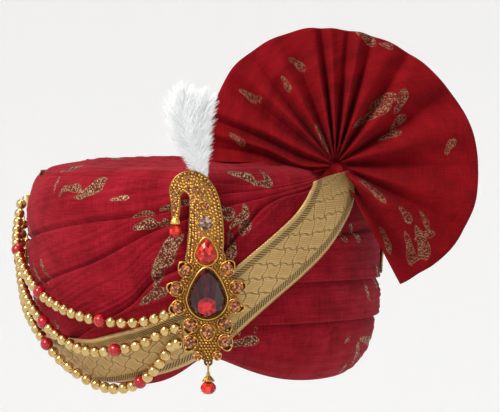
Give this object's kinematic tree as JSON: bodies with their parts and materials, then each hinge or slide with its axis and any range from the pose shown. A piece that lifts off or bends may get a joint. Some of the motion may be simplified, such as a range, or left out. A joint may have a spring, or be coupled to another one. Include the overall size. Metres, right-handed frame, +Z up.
{
  "type": "tied wedding turban",
  "caption": "Ready-tied wedding turban wound from pleated cloth, with a brocade border, a pleated cloth fan, swags of beads and a jewelled plume brooch.",
  "frame": {"origin": "middle of the head opening, level with the lowest stretch of the rim", "axes": "+Z up, the wearer faces -Y, +X to the viewer's right (the side with the pleated fan)"},
  "size_m": [0.3179, 0.2943, 0.2408],
  "materials": {
    "cloth": "matt crimson cotton with gold foil print",
    "brocade": "woven metallic thread",
    "gilt": "polished gilding",
    "gilt_beads": "plated beads, every few of them a red faceted one",
    "amber_glass": "cut and foiled",
    "rose_glass": "cut and foiled",
    "red_glass": "cut and polished",
    "garnet_glass": "cut and foiled",
    "feather": "soft white marabou"
  },
  "bodies": {
    "turban": {"crown_cap": "cloth", "wrap_1_top": "cloth", "wrap_2_upper": "cloth", "wrap_3_middle": "cloth", "wrap_4_lower": "cloth", "wrap_5_rim": "cloth", "wrap_gusset": "cloth", "turra_fan": "cloth", "border_front": "brocade", "border_back": "brocade", "brooch_frame": "gilt", "brooch_pin": "gilt", "stone_amber_01": "amber_glass", "stone_amber_02": "amber_glass", "stone_amber_03": "amber_glass", "stone_amber_04": "amber_glass", "stone_amber_05": "amber_glass", "stone_amber_06": "amber_glass", "stone_amber_07": "amber_glass", "stone_amber_08": "amber_glass", "stone_amber_09": "amber_glass", "stone_amber_10": "amber_glass", "stone_amber_11": "amber_glass", "stone_amber_12": "amber_glass", "stone_amber_13": "amber_glass", "stone_amber_14": "amber_glass", "stone_amber_15": "amber_glass", "stone_rose": "rose_glass", "stone_red_pear": "red_glass", "stone_main_pear": "garnet_glass", "tip_bead": "red_glass", "plume": "feather", "mala_1": "gilt_beads", "mala_2": "gilt_beads", "mala_3": "gilt_beads", "mala_hook": "gilt"},
    "drop": {"drop_cap": "gilt", "drop_bead": "red_glass"}
  },
  "joints": [
    {"name": "drop_swing", "type": "hinge", "parent": "turban", "child": "drop", "pos_m": [0.0043, -0.145, 0.02124], "axis": [0, 1, 0], "range_deg": [-30, 30]}
  ]
}
